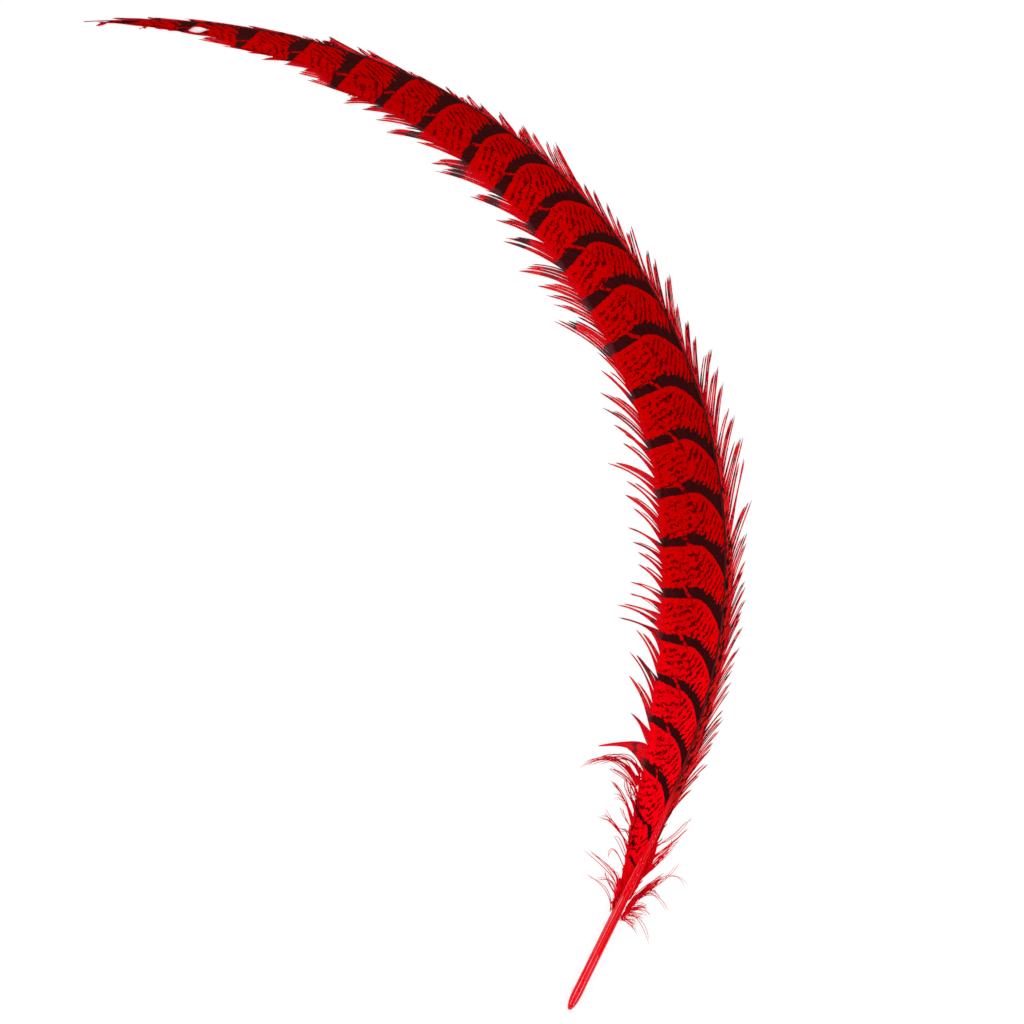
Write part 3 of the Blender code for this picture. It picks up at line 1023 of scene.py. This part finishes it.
def bar_top(share, along, near, near_squared, right, stroke, breaks):
    """Height of the bar's jagged upper edge, in bar spacings."""
    deep = smooth(breaks, 0.35, 0.65, 0.5, 1.2)
    finger = (right * near * 0.15 + 0.03) * deep * smooth(stroke, 0.5, -0.6)
    wedge = smooth(along, 640.0, 675.0)
    thick = near_squared * (wedge * -0.33 + 0.33) + 0.245
    return thick + wedge * (share * -0.30 + 0.20) - finger


def marks_group():
    """Node group: how dark the plumage is at a place on the vane, and the painted shadow of its crease."""
    tree = bpy.data.node_groups.new("plumage_marks", "ShaderNodeTree")
    for name in ("Phase", "Share", "Along", "Side"):
        tree.interface.new_socket(name=name, in_out="INPUT", socket_type="NodeSocketFloat")
    for name in ("Bar", "Scribble", "Shade", "CreaseShadow"):
        tree.interface.new_socket(name=name, in_out="OUTPUT", socket_type="NodeSocketFloat")
    sockets = tree.nodes.new("NodeGroupInput").outputs
    phase, share, along, side = (Value(sockets[name]) for name in ("Phase", "Share", "Along", "Side"))
    vector = combine(along, side)
    wobble = noise(vector, 0.20) - 0.5
    ripple = noise(vector, 0.55) - 0.5
    right = smooth(ripple * 0.15 + share, 0.56, 0.46)
    near = larger(share * -2.0 + 1.0, 0.0)
    near_squared = near * near
    stroke, breaks = scribble_strokes(along, side, right, wobble, ripple)

    # the bar, cut by its slash
    dome, bulk = dome_edge(phase, share, along, near_squared, wobble)
    rough_height = dome.calc("FRACT")
    slash_gap = share - (rough_height * 0.60 + 0.57 + wobble * 0.07)
    is_left = slash_gap.calc("GREATER_THAN", 0.0)
    height = (dome + is_left * 0.035).calc("FRACT")
    top = bar_top(share, along, near, near_squared, right, stroke, breaks) + bulk + ripple * 0.05
    slash = smooth(abs(slash_gap) - (wobble * 0.03 + 0.027), 0.012, -0.006)
    bar = smooth(height - top, 0.012, -0.012) * smooth(height, 0.0, 0.014) * (1.0 - slash)

    # strokes of uneven strength, none close below the next bar, and the darker red around them
    strength = smooth(breaks, 0.33, 0.52) * smooth(height, 0.98, 0.84)
    limit = strength * mix(right, -0.82, -0.98) + 1.30
    scribble = smooth(stroke - limit, -0.06, 0.26) * smooth(share, 1.02, 0.95)
    shade = smooth(stroke, -0.3, 0.8) * strength

    # the painted shadow in the crease, a thin crack that runs on from the slash
    crease_shadow_gap = abs(share - (rough_height * 0.27 + 0.29 + ripple * 0.12))
    crease_shadow = smooth(crease_shadow_gap, 0.018, 0.004) * smooth(rough_height, 0.3, 0.6) * smooth(breaks, 0.38, 0.52)
    fill(tree.nodes.new("NodeGroupOutput").inputs, (bar, scribble, shade, crease_shadow))
    return tree


plumage_marks = marks_group()
print("marks group:", len(plumage_marks.nodes), "nodes")

# %% [markdown]
# ## The dye on the wide vane
# The dye is a strong, even red, and the feather is matt: with no mirror-like part at all the colour stays
# full. The red is brightest near the quill and deepest beside the shaft. Single barbs differ a little.
# Beyond the margin the parted strands are uneven: most are light, some dark crimson, a few blush pink.

# %% Reds of the wide vane
WEB_REDS = (0.72, 0.0, 0.0), (0.58, 0.0, 0.0)
BASE_RED = (1.0, 0.0, 0.008)
DEEP_RED = (0.36, 0.0, 0.0)
BARB_RED = (0.34, 0.0, 0.0)
SHADE_RED = (0.33, 0.0, 0.0)
MARGIN_RED = (0.66, 0.004, 0.02)
LOCK_REDS = (0.70, 0.0, 0.010), (0.86, 0.055, 0.050)
LOCK_PATCH = (0.54, 0.0, 0.010)
LOCK_DARK = (0.24, 0.0, 0.008)
LOCK_BLUSH = (0.62, 0.022, 0.060)
LOCK_BASE = (0.88, 0.010, 0.020)


def matt_material(name):
    material = bpy.data.materials.new(name)
    material.use_nodes = True
    shader = material.node_tree.nodes["Principled BSDF"]
    shader.inputs["Roughness"].default_value = 0.8
    shader.inputs["Specular IOR Level"].default_value = 0.0
    return material, material.node_tree, shader


def lock_red(tree, vector):
    """Red of the parted strands."""
    light = blend(attribute(tree, "tint").calc("POWER", 2.0), *LOCK_REDS)
    light = blend(smooth(noise(vector, 0.25), 0.35, 0.65) * 0.5, light, LOCK_PATCH)
    return blend(smooth(attribute(tree, "tone"), 0.45, 1.0, 0.0, 0.8), light, LOCK_DARK)


def wide_red(vector, along, share, edge, margin, tint, shade):
    red = blend(noise(vector, 0.10), *WEB_REDS)
    red = blend(smooth(along, 300.0, 100.0), red, BASE_RED)
    inner = smooth(share, 0.62, 0.25) * smooth(along, 230.0, 330.0, 0.0, 0.55)
    red = blend(inner, red, DEEP_RED)
    red = blend(smooth(along, 500.0, 620.0, 0.0, 0.45), red, DEEP_RED)
    red = blend(tint * 0.16, red, BARB_RED)
    red = blend(shade * 0.35, red, SHADE_RED)
    red = blend(margin * 0.2, red, MARGIN_RED)
    locks = lock_red(vector.tree, vector)
    blush = smooth(edge, 1.25, 1.08) * smooth(tint, 0.4, 0.9, 0.0, 0.35)
    locks = blend(blush, locks, LOCK_BLUSH)
    locks = blend(smooth(along, 165.0, 120.0, 0.0, 0.8), locks, LOCK_BASE)
    parted = attribute(vector.tree, "free") * smooth(edge, 1.04, 1.40)
    return blend(parted, red, locks)


print("dye at the quill, red green blue:", BASE_RED)

# %% [markdown]
# ## Its dark marks
# Dark marks are brown-black and never quite black, and greyer at the margin, where light comes through.
# Bars run on only into the broad locks, and the others carry a few specks. Near its foot the vane has no
# bars: a few blotches, listed in millimetres with jagged outlines, stand for them.

# %% Material of the wide vane
BAR_DARKS = (0.056, 0.006, 0.006), (0.036, 0.004, 0.004)
BAR_ROOT = (0.030, 0.004, 0.004)
BAR_MARGIN = (0.13, 0.028, 0.034)
SCRIBBLE_RED = (0.095, 0.0, 0.0)
BASE_BLOTS = [((116, 12.6), (113, 8.4), 0.9), ((113, 8.4), (112.5, 4.5), 0.7),
              ((112.5, 4.5), (105.3, 1.7), 1.0), ((116, 12.6), (121.5, 19), 0.3),
              ((103.6, 14.5), (100.8, 12.3), 0.8), ((101, 9.3), (98.2, 8), 0.6),
              ((92, 6.7), (88.5, 2.4), 0.7)]


def wide_marks(vector, along, side, share, outside, blot, bar):
    """The bars with their blotches, the dark rim beside the shaft and the specks on the locks."""
    reach = smooth(along, 250.0, 300.0, 0.4, 1.0) + smooth(along, 540.0, 600.0, 0.0, -0.3)
    rim = smooth(side - (blot * -1.2 + reach), 0.5, -0.3)
    hold = 1.0 - outside * (1.0 - attribute(vector.tree, "carry"))
    bar = bar * hold * smooth(share, 1.62, 1.40) * smooth(along, 119.0, 126.0)
    jagged = noise(vector, 0.8) * 2.4 - 1.2
    spot = combine(along + jagged, side)
    blots = [near_line(spot, start, end, half) for start, end, half in BASE_BLOTS]
    specks = smooth(noise(vector, 0.33, 1.0), 0.60, 0.65, 0.0, 0.85) * outside * smooth(share, 1.65, 1.45)
    return larger(bar, *blots, rim, specks)


def wide_material():
    material, tree, shader = matt_material("wide_vane_dye")
    phase, share, _ = read_map(tree, "bars")
    along, side, vector = read_map(tree, "vane")
    tint = attribute(tree, "tint")
    group = tree.nodes.new("ShaderNodeGroup")
    group.node_tree = plumage_marks
    fill(group.inputs, (phase, share, along, side))
    bar, scribble, shade, crease_shadow = (Value(socket) for socket in group.outputs)
    blot = noise(vector, 0.3, 3.0)
    edge = blot * 0.1 + share
    margin = smooth(edge, 1.03, 1.13)
    outside = smooth(edge, 1.12, 1.22)
    red = wide_red(vector, along, share, edge, margin, tint, shade)
    # the scribble and the painted shadow of the crease share one dark red
    fine = larger(scribble * 0.95, crease_shadow * 0.85) * smooth(along, 92.0, 98.0)
    red = blend(fine, red, SCRIBBLE_RED)
    dark = blend(tint, *BAR_DARKS)
    dark = blend(smooth(share, 0.6, 0.3, 0.0, 0.6), dark, BAR_ROOT)
    dark = blend(margin * 0.7, dark, BAR_MARGIN)
    marks = wide_marks(vector, along, side, share, outside, blot, bar)
    fill([shader.inputs["Base Color"]], [blend(marks, red, dark)])
    return material


wide_vane.data.materials.append(wide_material())
print("wide vane:", len(wide_vane.data.materials[0].node_tree.nodes), "nodes")

# %% [markdown]
# ## The narrow vane and the hairs
# The narrow vane has no bars. It is mottled with streaks that run out and forward like its barbs, darkest
# close to the shaft on the lower half, and flecked further up. A dark line follows the shaft. The hairs
# fade to pink at their tips, and a few of them are nearly black.

# %% Materials of the narrow vane and the hairs
NARROW_REDS = (0.86, 0.016, 0.012), (0.56, 0.0, 0.004)
NARROW_DEEP = (0.22, 0.0, 0.003)
NARROW_BASE = (0.84, 0.0, 0.006)
NARROW_DARKS = (0.055, 0.008, 0.008), (0.028, 0.006, 0.007)
HAIR_REDS = (0.88, 0.0, 0.006), (0.66, 0.0, 0.012)
HAIR_TIP = (0.84, 0.04, 0.05)
HAIR_DARK = (0.045, 0.004, 0.006)


def narrow_material():
    material, tree, shader = matt_material("narrow_vane_dye")
    along, side, vector = read_map(tree, "vane")
    away = abs(side)
    tint = attribute(tree, "tint")
    streak = combine((away * -1.6 + along) * 0.30, away * 0.55)
    lower = smooth(along, 126.0, 146.0) * smooth(along, 310.0, 270.0)
    core = smooth(away, 4.2, 1.5) * lower
    bias = core * 0.07 + tint * 0.08 + noise(streak, 1.0, 3.0)
    red = blend(tint * 0.4, *NARROW_REDS)
    red = blend(attribute(tree, "free"), red, lock_red(tree, vector))
    red = blend(smooth(bias, 0.50, 0.66, 0.0, 0.6), red, NARROW_DEEP)
    red = blend(smooth(along, 140.0, 105.0), red, NARROW_BASE)
    mottle = smooth(bias, 0.60, 0.66) * smooth(along, 118.0, 130.0)
    stripe = near_line(combine(along, away), (108, 2.7), (128, 3.2), 0.35)
    flecks = smooth(noise(vector, 0.36, 1.0), 0.60, 0.66, 0.0, 0.9) * smooth(along, 230.0, 280.0)
    root = smooth(side, -0.5, -0.15) * smooth(along, 225.0, 270.0)
    marks = larger(larger(mottle, stripe, flecks) * smooth(away, 13.0, 7.0, 0.4, 1.0), root)
    fill([shader.inputs["Base Color"]], [blend(marks, red, blend(tint, *NARROW_DARKS))])
    return material


def hair_material():
    material, tree, shader = matt_material("hair_dye")
    tint = attribute(tree, "tint")
    reach = attribute(tree, "reach")
    red = blend(smooth(reach, 0.3, 1.0, 0.0, 0.5), blend(tint, *HAIR_REDS), HAIR_TIP)
    dark = attribute(tree, "dark") * smooth(tint, 0.1, 0.5, 0.6, 1.0) * smooth(reach, 1.0, 0.75)
    fill([shader.inputs["Base Color"]], [blend(dark, red, HAIR_DARK)])
    return material


narrow_vane.data.materials.append(narrow_material())
hairs.data.materials.append(hair_material())
print("materials:", [material.name for material in bpy.data.materials])

# %% [markdown]
# ## The shaft
# The quill is a horn tube. Up the feather it thins to a fine rib. A circle is extruded from station to
# station and closed at both ends. Its vertices then move to the line of the shaft, and keep how far along
# and how far across they are, because the material needs both.

# %% Shaft
SHAFT_SIDES = 16
CAP_STATIONS = [0.0, 0.0004, 0.0012, 0.0025, 0.0045, 0.007, 0.011]
CAP_LENGTH = 0.011
CAP_RADIUS = 0.0029


def shaft_stations():
    """Stations from the rounded end of the quill to the tip, with the radius at each one."""
    stations = np.concatenate([CAP_STATIONS, np.linspace(0.016, LENGTH, 190)])
    radius = at(SHAFT_RADIUS, stations)
    cap = len(CAP_STATIONS)
    rounding = 1.0 - (1.0 - stations[:cap] / CAP_LENGTH) ** 2
    radius[:cap] = np.sqrt(np.clip(rounding, 0.0, 1.0)) * CAP_RADIUS + 0.0001
    return stations, radius


def make_shaft():
    """A tapering tube that follows the line of the shaft."""
    stations, radius = shaft_stations()
    height = at(SHAFT_HEIGHT, stations)
    shift = at(SHAFT_SHIFT, stations)
    bm = bmesh.new()
    bmesh.ops.create_circle(bm, cap_ends=True, segments=SHAFT_SIDES, radius=1.0)
    face = bm.faces[:]
    for _ in stations[1:]:
        grown = bmesh.ops.extrude_face_region(bm, geom=face)["geom"]
        face = [g for g in grown if isinstance(g, bmesh.types.BMFace)]
        bmesh.ops.translate(bm, verts=face[0].verts[:], vec=(0.0, 0.0, 1.0))
    along_layer = bm.verts.layers.float.new("along")
    side_layer = bm.verts.layers.float.new("across")
    for vert in bm.verts:
        index = min(int(round(vert.co.z)), len(stations) - 1)
        side, up = vert.co.x, vert.co.y
        vert[along_layer] = stations[index] / MM
        vert[side_layer] = side
        floor_height = max(height[index] + up * radius[index], 0.0)
        vert.co = place(stations[index], side * radius[index] + shift[index], floor_height)
    bmesh.ops.recalc_face_normals(bm, faces=bm.faces)
    for face in bm.faces:
        face.smooth = True
    mesh = bpy.data.meshes.new("shaft_horn")
    bm.to_mesh(mesh)
    bm.free()
    print("shaft:", len(mesh.polygons), "faces")
    return add_object("shaft_horn", mesh)


shaft = make_shaft()

# %% [markdown]
# ## Dyed horn
# The bare quill is glossy red horn with fine dark lines along it. Three pale streaks are painted on it as
# highlights, because the gloss of real horn breaks into fine streaks that a smooth tube would not give.
# Further up the horn turns matt and nearly black, with a painted red highlight along its middle, and red
# again at its end.

# %% Shaft material
HORN_REDS = (0.95, 0.0, 0.009), (0.78, 0.0, 0.003)
HORN_LINE = (0.36, 0.0, 0.004)
# pale colour of the highlights painted on the quill
HORN_HIGHLIGHT = (1.0, 0.27, 0.32)
# the dark rib, and the red of the highlight painted along it
RIB_DARK_AND_HIGHLIGHT = (0.060, 0.005, 0.005), (0.26, 0.0, 0.004)
RIB_DARK = (0.036, 0.006, 0.005)
RIB_END = (0.30, 0.0, 0.008)
HORN_TINT = (1.0, 0.25, 0.28, 1.0)


def painted_horn_highlights(along, across, cloud):
    """Three painted highlights: pale strokes along the bare quill, of uneven strength."""
    spot = combine(along, across * 10.0)
    first_highlight = near_line(spot, (4, 4.0), (70, 4.0), 0.8)
    second = near_line(spot, (4, -3.8), (34, -3.8), 0.7)
    third = near_line(spot, (36, 7.2), (90, 7.2), 0.5)
    return larger(first_highlight, second, third * 0.5) * smooth(cloud, 0.3, 0.7, 0.45, 0.9)


def horn_material():
    material = bpy.data.materials.new("dyed_horn")
    material.use_nodes = True
    tree = material.node_tree
    shader = tree.nodes["Principled BSDF"]
    along = attribute(tree, "along")
    across = attribute(tree, "across")
    cloud = noise(Value(tree.nodes.new("ShaderNodeTexCoord").outputs["Object"]), 180.0, 3.0)
    reach = cloud * 12.0 + along
    lines = smooth((across * 7.5).calc("SINE"), 0.2, 1.0) * smooth(along, 36.0, 64.0, 0.10, 0.6)
    red = blend(lines, blend(cloud, *HORN_REDS), HORN_LINE)
    # painted highlights: three pale streaks along the bare quill
    red = blend(painted_horn_highlights(along, across, cloud), red, HORN_HIGHLIGHT)
    # painted highlight: a thin red line a little off the middle of the dark rib
    rib = blend(smooth(abs(across - 0.25), 0.45, 0.25), *RIB_DARK_AND_HIGHLIGHT)
    color = blend(smooth(reach, 128.0, 152.0), red, rib)
    color = blend(smooth(reach, 160.0, 230.0), color, RIB_DARK)
    color = blend(smooth(along, 745.0, 768.0), color, RIB_END)
    roughness = smooth(along, 100.0, 160.0, 0.22, 0.7)
    fill((shader.inputs["Base Color"], shader.inputs["Roughness"]), (color, roughness))
    shader.inputs["Specular IOR Level"].default_value = 0.32
    shader.inputs["Specular Tint"].default_value = HORN_TINT
    return material


shaft.data.materials.append(horn_material())
print("shaft from", tuple(round(value, 3) for value in shaft.data.vertices[0].co))

# %% [markdown]
# ## Riding along
# Every piece rides on the imported model's root and stands in for one of its solids.

# %% Ride and replace
for piece, node, slot in ((wide_vane, "wide_vane", "vane"), (narrow_vane, "narrow_vane", "vane"),
                          (shaft, "shaft", "shaft"), (hairs, "down_tuft", "down")):
    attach(piece, "root")
    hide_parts(node)
